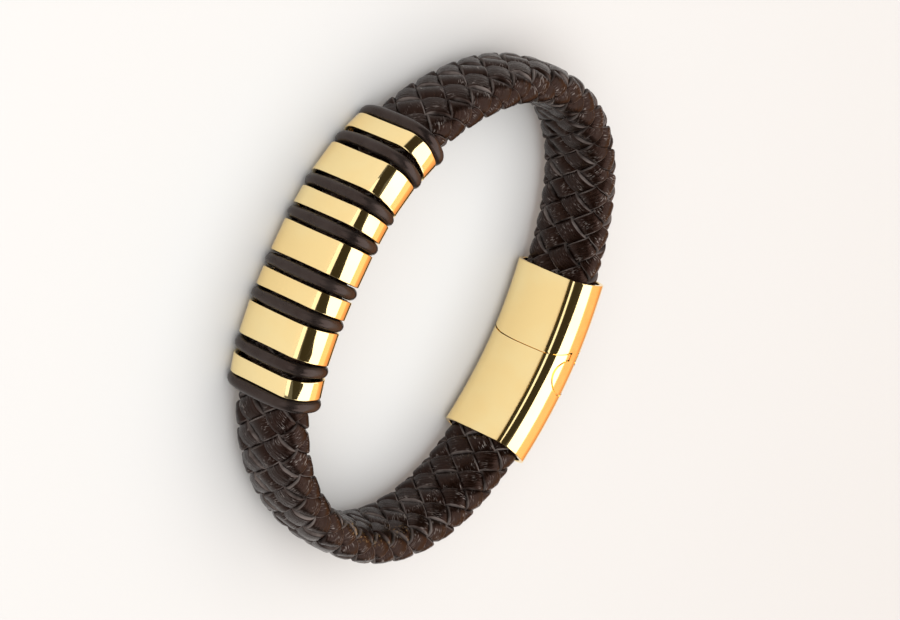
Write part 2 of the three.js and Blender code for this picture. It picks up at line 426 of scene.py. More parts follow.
@dataclass(frozen=True)
class Term:
    """A value in a node tree that can be written in sums like a number."""

    graph: "NodeTree"
    socket: bpy.types.NodeSocket

    __add__ = arithmetic("ADD")
    __sub__ = arithmetic("SUBTRACT")
    __rsub__ = arithmetic("SUBTRACT", swapped=True)
    __mul__ = arithmetic("MULTIPLY")
    __rmul__ = arithmetic("MULTIPLY", swapped=True)
    __truediv__ = arithmetic("DIVIDE")
    __rtruediv__ = arithmetic("DIVIDE", swapped=True)
    __pow__ = arithmetic("POWER")

    def __abs__(self) -> "Term":
        """Return the size without its sign."""
        return self.graph.maths("ABSOLUTE", self)

    def sin(self) -> "Term":
        """Return the sine."""
        return self.graph.maths("SINE", self)

    def cos(self) -> "Term":
        """Return the cosine."""
        return self.graph.maths("COSINE", self)

    def squared_off(self, power: "Term | float") -> "Term":
        """Return the value's size to a power, with the value's sign."""
        return self.graph.maths("SIGN", self) * abs(self) ** power


class NodeTree:
    """Short calls that add nodes to a node tree."""

    def __init__(self, tree: bpy.types.NodeTree) -> None:
        """Wrap a tree."""
        self.tree = tree

    def node(self, kind: str, feeds: Feeds | None = None, **settings: object) -> bpy.types.Node:
        """Add a node.

        Args:
            kind: Node type.
            feeds: Input names or numbers, with what goes in.
            **settings: Properties of the node.

        Returns:
            The new node.
        """
        node = self.tree.nodes.new(kind)
        for key, value in settings.items():
            setattr(node, key, value)
        for key, value in (feeds or {}).items():
            self.feed(node.inputs[key], value)
        return node

    def add(self, kind: str, feeds: Feeds | None = None, part: str | int = 0, **settings: object) -> Term:
        """Add a node and return one of its outputs as a term."""
        return Term(self, self.node(kind, feeds, **settings).outputs[part])

    def feed(self, socket: bpy.types.NodeSocket, value: object) -> None:
        """Link or set one input.

        Args:
            socket: Input of a node.
            value: A term to link, or a plain value.
        """
        if isinstance(value, Term):
            self.tree.links.new(value.socket, socket)
        else:
            socket.default_value = value

    def maths(self, operation: str, *values: Term | float) -> Term:
        """Return the result of a math node."""
        return self.add("ShaderNodeMath", dict(enumerate(values)), operation=operation)

    def span(self, value: Term, low: object, high: object, to_low: float = 0.0, to_high: float = 1.0) -> Term:
        """Return a value moved smoothly from one range to another and held inside it."""
        feeds = {"Value": value, "From Min": low, "From Max": high, "To Min": to_low, "To Max": to_high}
        return self.add("ShaderNodeMapRange", feeds, "Result", interpolation_type="SMOOTHSTEP")


class Graph(NodeTree):
    """A geometry node tree with named inputs, written from top to bottom."""

    def __init__(self, name: str) -> None:
        """Start an empty tree with a geometry output.

        Args:
            name: Name of the tree.
        """
        super().__init__(bpy.data.node_groups.new(name, "GeometryNodeTree"))
        self.tree.interface.new_socket("Geometry", in_out="OUTPUT", socket_type="NodeSocketGeometry")
        self.source = self.tree.nodes.new("NodeGroupInput")
        self.identifiers: dict[str, str] = {}

    def given(self, *names: str, kind: str = "Float") -> list[Term]:
        """Add named inputs of one kind.

        Args:
            *names: Names in lower case, with underscores for spaces.
            kind: Float, Int, Object or Material.

        Returns:
            The inputs as terms.
        """
        terms = []
        for name in names:
            label = name.replace("_", " ").title()
            item = self.tree.interface.new_socket(label, in_out="INPUT", socket_type=f"NodeSocket{kind}")
            self.identifiers[name] = item.identifier
            terms.append(Term(self, self.source.outputs[label]))
        return terms

    def split(self, vector: Term) -> tuple[Term, Term, Term]:
        """Return the x, y and z of a vector."""
        node = self.node("ShaderNodeSeparateXYZ", {0: vector})
        return tuple(Term(self, node.outputs[axis]) for axis in range(3))

    def join(self, x: Term | float, y: Term | float, z: Term | float) -> Term:
        """Return a vector from its x, y and z."""
        return self.add("ShaderNodeCombineXYZ", {0: x, 1: y, 2: z})

    def shape_of(self, item: Term) -> Term:
        """Return the shape of an object that came in as an input."""
        return self.add("GeometryNodeObjectInfo", {"Object": item}, "Geometry")

    def along(self, curve: Term, length: Term) -> tuple[Term, ...]:
        """Return place and direction at a length along a curve object.

        Args:
            curve: The curve object, as an input.
            length: Running length in millimetres.

        Returns:
            The place's x, y and z and the direction's x, y and z.
        """
        feeds = {"Curves": self.shape_of(curve), "Length": length * MM}
        node = self.node("GeometryNodeSampleCurve", feeds, mode="LENGTH", use_all_curves=True)
        place, direction = (Term(self, node.outputs[part]) for part in ("Position", "Tangent"))
        return (*self.split(place), *self.split(direction))

    def keep(self, shape: Term, name: str, value: Term, kind: str) -> Term:
        """Return a shape with a named attribute of a kind stored on its points."""
        feeds = {"Geometry": shape, "Name": name, "Value": value}
        return self.add("GeometryNodeStoreNamedAttribute", feeds, data_type=kind, domain="POINT")

    def finish(self, shape: Term, material: Term) -> None:
        """Realize the shape, shade it smooth, set its material and send it out.

        Args:
            shape: The shape.
            material: Its material, as an input.
        """
        real = self.add("GeometryNodeRealizeInstances", {"Geometry": shape})
        smooth = self.add("GeometryNodeSetShadeSmooth", {"Geometry": real})
        dressed = self.add("GeometryNodeSetMaterial", {"Geometry": smooth, "Material": material})
        self.node("NodeGroupOutput", {"Geometry": dressed})

    def grow(self, name: str, values: dict[str, object], place: Matrix | None = None) -> Item:
        """Run the tree once and return its result as a plain mesh object.

        Args:
            name: Name of the piece.
            values: Value of each named input.
            place: Where the mesh goes, or None to leave it.

        Returns:
            The new object, at the origin and without modifiers.
        """
        host = link_object(f"{name}_host", bpy.data.meshes.new(f"{name}_host"))
        modifier = host.modifiers.new(self.tree.name, "NODES")
        modifier.node_group = self.tree
        for key, value in values.items():
            modifier[self.identifiers[key]] = value
        mesh = applied_mesh(host)
        mesh.name = name
        if place is not None:
            mesh.transform(place)
        remove([host])
        made = link_object(name, mesh)
        turn_outward(made)
        return made


class Shading(NodeTree):
    """A material round one Principled shader."""

    def __init__(self, name: str) -> None:
        """Start a material with a Principled shader.

        Args:
            name: Name of the material.
        """
        self.material = bpy.data.materials.new(name)
        self.material.use_nodes = True
        super().__init__(self.material.node_tree)
        self.tree.nodes.clear()
        self.shader = self.node("ShaderNodeBsdfPrincipled")
        self.node("ShaderNodeOutputMaterial", {"Surface": Term(self, self.shader.outputs[0])})

    def set(self, **values: object) -> None:
        """Set or link inputs of the shader; underscores stand for spaces."""
        for key, value in values.items():
            self.feed(self.shader.inputs[key.replace("_", " ")], value)

    def place(self) -> Term:
        """Return Object coordinates."""
        return self.add("ShaderNodeTexCoord", part="Object")

    def stored(self, name: str, part: str = "Fac") -> Term:
        """Return a named attribute of the mesh, as a number or as its Vector."""
        return self.add("ShaderNodeAttribute", part=part, attribute_name=name)

    def scaled(self, vector: Term, *by: float) -> Term:
        """Return a vector with its x, y and z each multiplied by a number."""
        return self.add("ShaderNodeVectorMath", {0: vector, 1: by}, operation="MULTIPLY")

    def noise(self, vector: Term, scale: float, detail: float = 4.0, rough: float = 0.55) -> Term:
        """Return noise between 0 and 1."""
        feeds = {"Vector": vector, "Scale": scale, "Detail": detail, "Roughness": rough}
        return self.add("ShaderNodeTexNoise", feeds, "Fac")

    def mix(self, share: Term, first: object, second: object) -> Term:
        """Return a colour between two colours."""
        return self.add("ShaderNodeMix", {0: share, 6: first, 7: second}, 2, data_type="RGBA")

    def blend(self, share: Term, first: object, second: object) -> Term:
        """Return a number between two numbers."""
        return self.add("ShaderNodeMix", {0: share, 2: first, 3: second}, data_type="FLOAT")

    def bump(self, height: Term, strength: float, depth: float, **under: Term) -> Term:
        """Return a normal roughened by a height, to a depth in metres, over a bump below if given."""
        feeds = {"Height": height, "Strength": strength, "Distance": depth, **under}
        return self.add("ShaderNodeBump", feeds)


# --------------------------------------------------------------------------- finishes


@dataclass(frozen=True)
class ThongLeather:
    """Dark leather thongs with creases, painted highlights as pale glint marks on their lifted parts, painted
    shade in their hollows, pale cut edges and a rubbed patch.

    The scales of blotches and specks are in repeats per metre, and the others in repeats per millimetre.
    """

    dark: Colour = (0.0034, 0.0013, 0.0007, 1.0)
    light: Colour = (0.0080, 0.0040, 0.0028, 1.0)
    cut: Colour = (0.100, 0.084, 0.077, 1.0)
    # Colour of the painted highlights: glint marks on the grain.
    painted_glint: Colour = (0.112, 0.098, 0.090, 1.0)
    worn: Colour = (0.21, 0.125, 0.048, 1.0)
    sheen_tint: Colour = (1.0, 0.58, 0.46, 1.0)
    specular: float = 0.20
    crease_scale: float = 3.0
    crease_stretch: float = 0.12
    crease_span: Span = (0.36, 0.70)
    crease_depth: float = 0.00010
    gloss_span: Span = (0.3, 0.75)
    gloss: Span = (0.25, 0.15)
    pebble_scale: float = 4.2
    pebble_span: Span = (0.0, 0.22)
    pebble_strength: float = 0.4
    pebble_depth: float = 0.00002
    crest_span: Span = (0.25, 0.75)
    stroke_scale: float = 7.5
    stroke_stretch: float = 0.22
    stroke_span: Span = (0.55, 0.77)
    patch_scale: float = 0.60
    patch_span: Span = (0.45, 0.70)
    rim_span: Span = (0.84, 0.93)
    rim_roughness: float = 0.62
    blotch_scale: float = 260.0
    blotch_span: Span = (0.3, 0.7)
    worn_at: Spot = (0.0005, -0.0320, 0.0123)
    worn_squash: float = 3.4
    worn_reach: float = 0.0105
    worn_core: float = 0.35
    worn_span: Span = (0.42, 0.58)
    speck_scale: float = 2400.0
    speck_span: Span = (0.55, 0.62)

    def _body(self, look: Shading, flat: Term, creases: Term) -> Term:
        """Return the colour of a thong's face: painted shade where it dips under its neighbour, and painted
        highlights as pale glint marks where it is lifted.

        Args:
            look: The material.
            flat: Coordinates along and across the thongs.
            creases: The creases' noise.

        Returns:
            The colour.
        """
        lifted = look.span(look.stored("crest"), *self.crest_span)
        leather = look.mix(look.span(creases, *self.crease_span), self.dark, self.light)
        # Painted highlights: pale glint marks on the lifted parts of the face, standing in for light glinting
        # off the grain.
        drawn = look.noise(look.scaled(flat, self.stroke_stretch, 1.0, 1.0), self.stroke_scale, 0.0)
        glint_strokes = look.span(drawn, *self.stroke_span)
        glint_patches = look.span(look.noise(flat, self.patch_scale, 1.0), *self.patch_span)
        # Painted shade: the face takes the plain dark colour where the thong dips under its neighbour, and
        # the painted highlights go over the lifted parts.
        return look.mix(lifted * (glint_strokes * glint_patches), look.mix(lifted, self.dark, leather), self.painted_glint)

    def _wear(self, look: Shading, place: Term, blotches: Term) -> Term:
        """Return where the leather is rubbed through in specks.

        Args:
            look: The material.
            place: Object coordinates.
            blotches: Broad noise that leaves gaps between the specks.

        Returns:
            Share of the worn colour.
        """
        shifted = look.add("ShaderNodeVectorMath", {0: place, 1: self.worn_at}, operation="SUBTRACT")
        squashed = look.scaled(shifted, 1.0, self.worn_squash, self.worn_squash)
        away = look.add("ShaderNodeVectorMath", {0: squashed}, "Value", operation="LENGTH")
        near = look.span(away, self.worn_reach * self.worn_core, self.worn_reach, 1.0, 0.0)
        specks = look.span(look.noise(place, self.speck_scale, 3.0, 0.7), *self.speck_span)
        return near * (specks * look.span(blotches, *self.worn_span))

    def make(self) -> bpy.types.Material:
        """Return the material."""
        look = Shading("thong_leather")
        flat, place = look.stored("thong", "Vector"), look.place()
        creases = look.noise(look.scaled(flat, self.crease_stretch, 1.0, 1.0), self.crease_scale, 2.0)
        blotches = look.noise(place, self.blotch_scale, 3.0)
        edge = look.span(look.stored("rim"), *self.rim_span)
        cut = look.mix(look.span(blotches, *self.blotch_span), self.dark, self.cut)
        coloured = look.mix(edge, self._body(look, flat, creases), cut)
        feeds = {"Vector": flat, "Scale": self.pebble_scale}
        cells = look.add("ShaderNodeTexVoronoi", feeds, "Distance", feature="DISTANCE_TO_EDGE")
        pebbles = look.span(cells, *self.pebble_span)
        grain = look.bump(creases, 1.0, self.crease_depth)
        look.set(
            Base_Color=look.mix(self._wear(look, place, blotches), coloured, self.worn),
            Roughness=look.blend(edge, look.span(creases, *self.gloss_span, *self.gloss), self.rim_roughness),
            Normal=look.bump(pebbles, self.pebble_strength, self.pebble_depth, Normal=grain),
            Specular_IOR_Level=self.specular,
            Specular_Tint=self.sheen_tint,
        )
        return look.material


@dataclass(frozen=True)
class CoreLeather:
    """Dull dark leather inside the plait, seen only through its corners."""

    dark: Colour = (0.004, 0.0035, 0.0034, 1.0)
    light: Colour = (0.009, 0.008, 0.0075, 1.0)
    grain_scale: float = 2500.0
    grain_depth: float = 0.0001
    roughness: float = 0.85

    def make(self) -> bpy.types.Material:
        """Return the material."""
        look = Shading("core_leather")
        grain = look.noise(look.place(), self.grain_scale)
        look.set(
            Base_Color=look.mix(grain, self.dark, self.light),
            Roughness=self.roughness,
            Normal=look.bump(grain, 0.3, self.grain_depth),
        )
        return look.material


@dataclass(frozen=True)
class PolishedGold:
    """Pale polished gold plating with faint polishing haze and hairlines."""

    name: str = "polished_gold"
    pale: Colour = (1.0, 0.80, 0.41, 1.0)
    deep: Colour = (1.0, 0.755, 0.355, 1.0)
    roughness: Span = (0.055, 0.09)
    haze_scale: float = 90.0
    haze_span: Span = (0.35, 0.65)
    haze_depth: float = 0.00004
    hair_scale: float = 900.0
    hair_stretch: float = 14.0
    hair_span: Span = (0.3, 0.7)

    def make(self) -> bpy.types.Material:
        """Return the material."""
        look = Shading(self.name)
        place = look.place()
        haze = look.noise(place, self.haze_scale, 3.0)
        hairs = look.noise(look.scaled(place, 1.0, 1.0, self.hair_stretch), self.hair_scale, 2.0)
        look.set(
            Base_Color=look.mix(look.span(haze, *self.haze_span), self.pale, self.deep),
            Metallic=1.0,
            Roughness=look.span(hairs, *self.hair_span, *self.roughness),
            Normal=look.bump(haze, 0.05, self.haze_depth),
        )
        return look.material


@dataclass(frozen=True)
class SatinRubber:
    """Black moulded rubber with a soft sheen and fine specks of dust."""

    dark: Colour = (0.0055, 0.0040, 0.0036, 1.0)
    light: Colour = (0.013, 0.0102, 0.0092, 1.0)
    sheen_tint: Colour = (1.0, 0.70, 0.61, 1.0)
    specular: float = 0.45
    cloud_scale: float = 420.0
    cloud_span: Span = (0.35, 0.7)
    sheen_span: Span = (0.3, 0.7)
    roughness: Span = (0.24, 0.36)
    dust_scale: float = 3800.0
    dust_depth: float = 0.00003

    def make(self) -> bpy.types.Material:
        """Return the material."""
        look = Shading("satin_rubber")
        place = look.place()
        clouds = look.noise(place, self.cloud_scale)
        look.set(
            Base_Color=look.mix(look.span(clouds, *self.cloud_span), self.dark, self.light),
            Roughness=look.span(clouds, *self.sheen_span, *self.roughness),
            Normal=look.bump(look.noise(place, self.dust_scale, 2.0), 0.15, self.dust_depth),
            Specular_IOR_Level=self.specular,
            Specular_Tint=self.sheen_tint,
        )
        return look.material


@dataclass(frozen=True)
class PaleFloor:
    """Plain pale matt floor."""

    colour: Colour = (0.44, 0.434, 0.425, 1.0)
    shade: float = 0.97
    cloud_scale: float = 6.0
    roughness: float = 0.75

    def make(self) -> bpy.types.Material:
        """Return the material."""
        look = Shading("pale_floor")
        shaded = (*(part * self.shade for part in self.colour[:3]), 1.0)
        clouds = look.noise(look.place(), self.cloud_scale, 2.0)
        look.set(Base_Color=look.mix(clouds, self.colour, shaded), Roughness=self.roughness)
        return look.material


# --------------------------------------------------------------------------- the strap


@dataclass
class Plait:
    """Flat-oval strap plaited from ten leather thongs over a dark core, in millimetres."""

    loop: Loop
    width: float = 12.3
    thickness: float = 6.0
    ovalness: float = 2.6
    outline_steps: int = 400
    path_steps: int = 1500
    start: float = -89.4
    end: float = 96.4
    spare: float = 2.0
    grip: float = 0.7
    grip_from: float = -17.4
    grip_to: float = 24.3
    grip_ease: float = 3.0
    thongs: int = 5
    crossing: float = 3.8
    slack_above: float = 0.015
    slack_below: float = 0.07
    slack_from: float = 40.0
    slack_growth: float = 0.0032
    twist: float = 0.0126
    twist_from: float = 0.995
    thong_width: float = 3.25
    thong_height: float = 1.05
    relief: float = 0.50
    squareness: float = 0.26
    crown: float = 0.46
    rows: int = 700
    sides: int = 20
    rim_above: float = -0.9
    weld: float = 0.004
    core_gap: float = 1.15
    core_ovalness: float = 2.2
    core_steps: int = 260
    core_sides: int = 40

    def _tree(self) -> Graph:
        """Return the tree that winds one family of thongs round the strap, over and under."""
        g = Graph("plait_family")
        path, section = g.given("path", "section", kind="Object")
        (material,) = g.given("material", kind="Material")
        rows, sides, thongs = g.given("rows", "sides", "thongs", kind="Int")
        width, height, relief, crossing = g.given("thong_width", "thong_height", "relief", "crossing")
        square, crown, lean, column = g.given("squareness", "crown", "lean", "column")
        first, last, phase, twist, twist_from = g.given("first", "last", "phase", "twist", "twist_from")
        grip, grip_from, grip_to, ease = g.given("grip", "grip_from", "grip_to", "grip_ease")
        slack_above, slack_below = g.given("slack_above", "slack_below")
        slack_from, slack_growth = g.given("slack_from", "slack_growth")

        # A grid for each thong: its x will run along the thong, and its y round the thong's section.
        size = {"Size X": 1.0, "Size Y": 1.0, "Vertices X": rows, "Vertices Y": sides + 1.0}
        strip = g.add("GeometryNodeMeshGrid", size)
        stack = g.add("GeometryNodeMeshLine", {"Count": thongs, "Offset": (0.0, 0.0, 1.0)}, mode="OFFSET")
        copies = g.add("GeometryNodeInstanceOnPoints", {"Points": stack, "Instance": strip})
        flat = g.add("GeometryNodeRealizeInstances", {"Geometry": copies})

        x, y, number = g.split(g.add("GeometryNodeInputPosition"))
        share = x + 0.5
        turn = (y + 0.5) * (2 * math.pi)
        edge_row = 0.5 / (rows - 1.0)
        inside = g.maths("GREATER_THAN", share, edge_row) * g.maths("LESS_THAN", share, 1.0 - edge_row)
        side = turn.cos().squared_off(square)
        top = turn.sin().squared_off(crown)
        offset = side * inside * width / 2.0
        raised = top * inside * height / 2.0

        def paced(value: Term) -> Term:
            """Return a length along the strap, slowed where the plait is looser.

            Args:
                value: Running length along the path.

            Returns:
                The slowed length.
            """
            above = g.maths("MAXIMUM", value - grip_to, 0.0)
            below = g.maths("MAXIMUM", grip_from - value, 0.0)
            far = g.maths("MAXIMUM", above - slack_from, 0.0)
            return value - above * slack_above - far * far * slack_growth + below * slack_below

        # Place of each point: along the strap, round its outline, and above or below the crossing thong.
        slope = column * 2.0 / crossing
        slant = g.maths("SQRT", slope * slope + 1.0)
        middle = first + share * (last - first)
        along = middle - offset * lean * slope / slant
        around = column * 2.0 * number + lean * slope * (paced(middle) + phase) + offset / slant
        other = (around / column + lean * 2.0 * (paced(along) + phase) / crossing) / 2.0
        wave = ((number + other) * math.pi).cos()
        lift = 0.0 - lean * relief * wave * (1.5 - 0.5 * wave * wave)

        # The same place in space, from the strap's centre line and its outline.
        twisted = around + column * (twist_from + twist * along)
        px, py, pz, tx, ty, _ = g.along(path, along)
        ox, oy, _, ex, ey, _ = g.along(section, g.maths("WRAP", twisted, column * 2.0 * thongs, 0.0))
        held = g.span(along, grip_from - ease, grip_from) * (1.0 - g.span(along, grip_to, grip_to + ease))
        deep = (lift + raised - relief - height / 2.0 - grip * held / 2.0) * MM
        out = ox + ey * deep
        spot = g.join(px - ty * out, py + tx * out, pz + (oy - ex * deep))
        plan = g.join(middle * slant, offset, number)
        shape = g.keep(flat, "thong", plan, "FLOAT_VECTOR")
        shape = g.keep(shape, "rim", abs(side) * g.maths("GREATER_THAN", top, self.rim_above), "FLOAT")
        shape = g.keep(shape, "crest", wave * lean * -0.5 + 0.5, "FLOAT")
        moved = g.add("GeometryNodeSetPosition", {"Geometry": shape, "Position": spot})
        closed = g.add("GeometryNodeMergeByDistance", {"Geometry": moved, "Distance": self.weld * MM})
        g.finish(closed, material)
        return g

    def _core(self, material: bpy.types.Material) -> Item:
        """Return the dark core that closes the corners between thongs.

        Args:
            material: Material of the core.

        Returns:
            The core.
        """
        low, high, ease = self.grip_from, self.grip_to, self.grip_ease
        rows = []
        for length in np.linspace(self.start, self.end, self.core_steps):
            held = np.interp(length, (low - ease, low, high, high + ease), (0.0, 1.0, 1.0, 0.0))
            less = 2 * self.core_gap + self.grip * held
            sizes = self.width - less, self.thickness - less
            section = oval_outline(*sizes, self.core_ovalness, self.core_sides)
            rows.append(self.loop.bend(length, section[:, 0], section[:, 1]))
        core = loft("strap_core", rows)
        core.data.materials.append(material)
        core.data.shade_smooth()
        return core

    def _values(self, path: Item, section: Item, perimeter: float) -> dict[str, object]:
        """Return the tree's inputs, without the lean.

        Args:
            path: Curve object of the centre line, which starts before the strap does.
            section: Curve object of the strap's outline.
            perimeter: Length round the outline.

        Returns:
            Value of each named input.
        """
        same = (
            *("rows", "sides", "thongs", "thong_width", "thong_height", "relief", "crossing", "twist"),
            *("squareness", "crown", "grip", "grip_ease"),
            *("slack_above", "slack_below", "slack_from", "slack_growth"),
        )
        origin = self.start - self.spare
        return {name: getattr(self, name) for name in same} | {
            "path": path,
            "section": section,
            "material": ThongLeather().make(),
            "column": perimeter / (2 * self.thongs),
            "phase": origin,
            "first": self.start - origin,
            "last": self.end - origin,
            "twist_from": self.twist_from + self.twist * origin,
            "grip_from": self.grip_from - origin,
            "grip_to": self.grip_to - origin,
        }

    def build(self) -> list[Item]:
        """Return both families of thongs and the core, dressed and placed."""
        lengths = np.linspace(self.start - self.spare, self.end + self.spare, self.path_steps)
        path = add_line("path", self.loop.bend(lengths, 0.0, 0.0), False)
        outline = oval_outline(self.width, self.thickness, self.ovalness, self.outline_steps)
        section = add_outline("section", outline)
        values = self._values(path, section, float(run_along(np.vstack((outline, outline[:1])))[-1]))
        graph = self._tree()
        pieces = [graph.grow(f"{lean.name.lower()}_thongs", {**values, "lean": lean.value}) for lean in Lean]
        pieces.append(self._core(CoreLeather().make()))
        remove([path, section])
        for piece in pieces:
            settle(piece, ["braided_strap"])
        return pieces


# --------------------------------------------------------------------------- the rings


@dataclass
class RingRun:
    """Seven gold rings with rubber rings before, between and after them, in millimetres."""

    loop: Loop
    start: float = 22.41
    narrow: float = 2.7
    wide: float = 4.7
    spaces: tuple[float, ...] = (2.4, 2.0, 2.1, 2.2, 2.0, 2.3)
    width: float = 14.4
    thickness: float = 7.3
    corner: float = 3.2
    corner_steps: int = 18
    flat_steps: int = 14
    wall: float = 0.65
    edge: float = 0.16
    edge_steps: int = 5
    rubber_radial: float = 1.75
    rubber_axial: float = 1.80
    rubber_inside: Span = (11.3, 5.1)
    rubber_ovalness: float = 2.8
    rubber_steps: int = 132
    rubber_sides: int = 28
    rubber_end_space: float = 1.05
    rubber_side_gap: float = 0.04

    def _tree(self, profile: Profile) -> Graph:
        """Return the tree that carries a cross-section round an outline.

        Args:
            profile: Round for rubber, flat for gold.

        Returns:
            The tree.
        """
        g = Graph(f"{profile.value}_ring")
        (outline,) = g.given("outline", kind="Object")
        (material,) = g.given("material", kind="Material")
        radial, axial, edge, space, wedge = g.given("radial", "axial", "edge", "space", "wedge")
        if profile is Profile.FLAT:
            block = g.add("GeometryNodeCurvePrimitiveQuadrilateral", {"Width": radial, "Height": axial})
            feeds = {"Curve": block, "Radius": edge, "Count": self.edge_steps}
            section = g.add("GeometryNodeFilletCurve", feeds, mode="POLY")
        else:
            feeds = {"Resolution": self.rubber_sides, "Radius": 0.5}
            disc = g.add("GeometryNodeCurvePrimitiveCircle", feeds, mode="RADIUS")
            section = g.add("GeometryNodeTransform", {"Geometry": disc, "Scale": g.join(radial, axial, 1.0)})
        swept = g.add("GeometryNodeCurveToMesh", {"Curve": g.shape_of(outline), "Profile Curve": section})
        x, y, z = g.split(g.add("GeometryNodeInputPosition"))
        room = g.maths("MINIMUM", (space + wedge * x) / axial, 1.0)
        moved = g.add("GeometryNodeSetPosition", {"Geometry": swept, "Position": g.join(x, y, z * room)})
        g.finish(moved, material)
        return g

    def _spans(self) -> list[Span]:
        """Return the middle and the length of each gold ring."""
        spans = []
        at = self.start
        for number, space in enumerate((*self.spaces, 0.0)):
            length = self.wide if number % 2 else self.narrow
            spans.append((at - length / 2, length))
            at -= length + space
        return spans

    def _seats(self) -> list[tuple[Matrix, float, float]]:
        """Return place, room and wedge of each rubber ring, from its neighbours' end faces."""
        spans = self._spans()
        places = [self.loop.matrix(middle) for middle, _ in spans]
        ends = [
            [place @ Vector((0.0, 0.0, side * length / 2 * MM)) for side in (1.0, -1.0)]
            for place, (_, length) in zip(places, spans)
        ]
        axes = [place.to_3x3().col[2] for place in places]
        seats = [self._end_seat(places[0], ends[0][0], axes[0])]
        for number in range(len(spans) - 1):
            face, nxt = ends[number][1], ends[number + 1][0]
            along = (axes[number] + axes[number + 1]).normalized()
            outward = Vector((-along.y, along.x, 0.0))
            wedge = abs(axes[number].cross(axes[number + 1]).z)
            seats.append((placing((face + nxt) / 2 / MM, along, outward), (face - nxt).length, wedge))
        seats.append(self._end_seat(places[-1], ends[-1][1], -axes[-1]))
        return seats

    def _end_seat(self, place: Matrix, face: Vector, away: Vector) -> tuple[Matrix, float, float]:
        """Return the seat of a rubber ring at the free face of an end ring."""
        middle = Matrix.Translation(face + away * self.rubber_end_space * MM)
        return middle @ place.to_3x3().to_4x4(), 2 * self.rubber_end_space * MM, 0.0

    def _bands(
        self,
        slot: Slot,
        profile: Profile,
        outline: np.ndarray,
        material: bpy.types.Material,
        seats: Iterable[tuple[Matrix, dict[str, float]]],
    ) -> list[Item]:
        """Return all rings of one kind, dressed and placed.

        Args:
            slot: Slot of the rings, which also gives their names.
            profile: Their cross-section.
            outline: Line that the cross-section follows.
            material: Their material.
            seats: Place and sizes of each ring, in metres.

        Returns:
            The rings in order.
        """
        line, tree = add_outline(f"{slot.value}_outline", outline), self._tree(profile)
        pieces = []
        for number, (place, sizes) in enumerate(seats, start=1):
            values = {"outline": line, "material": material, **sizes}
            piece = tree.grow(f"{slot.value}_band_{number}", values, place)
            settle(piece, [f"{slot.value}_ring_{number}"])
            pieces.append(piece)
        remove([line])
        return pieces

    def build(self) -> list[Item]:
        """Return all rings, dressed and placed."""
        sizes = self.width - self.wall, self.thickness - self.wall, self.corner - self.wall / 2
        flat = rounded_outline(*sizes, self.corner_steps, self.flat_steps)
        hard = {"radial": self.wall * MM, "edge": self.edge * MM, "space": 1.0, "wedge": 0.0}
        golds = [(self.loop.matrix(at), hard | {"axial": length * MM}) for at, length in self._spans()]
        high, deep = (size + self.rubber_radial for size in self.rubber_inside)
        oval = oval_outline(high, deep, self.rubber_ovalness, self.rubber_steps)
        soft = {"radial": self.rubber_radial * MM, "axial": self.rubber_axial * MM, "edge": 0.0}
        less = 2 * self.rubber_side_gap * MM
        rubbers = [
            (place, soft | {"space": room - less, "wedge": wedge}) for place, room, wedge in self._seats()
        ]
        return [
            *self._bands(Slot.GOLD, Profile.FLAT, flat, PolishedGold().make(), golds),
            *self._bands(Slot.RUBBER, Profile.ROUND, oval, SatinRubber().make(), rubbers),
        ]


# --------------------------------------------------------------------------- the clasp


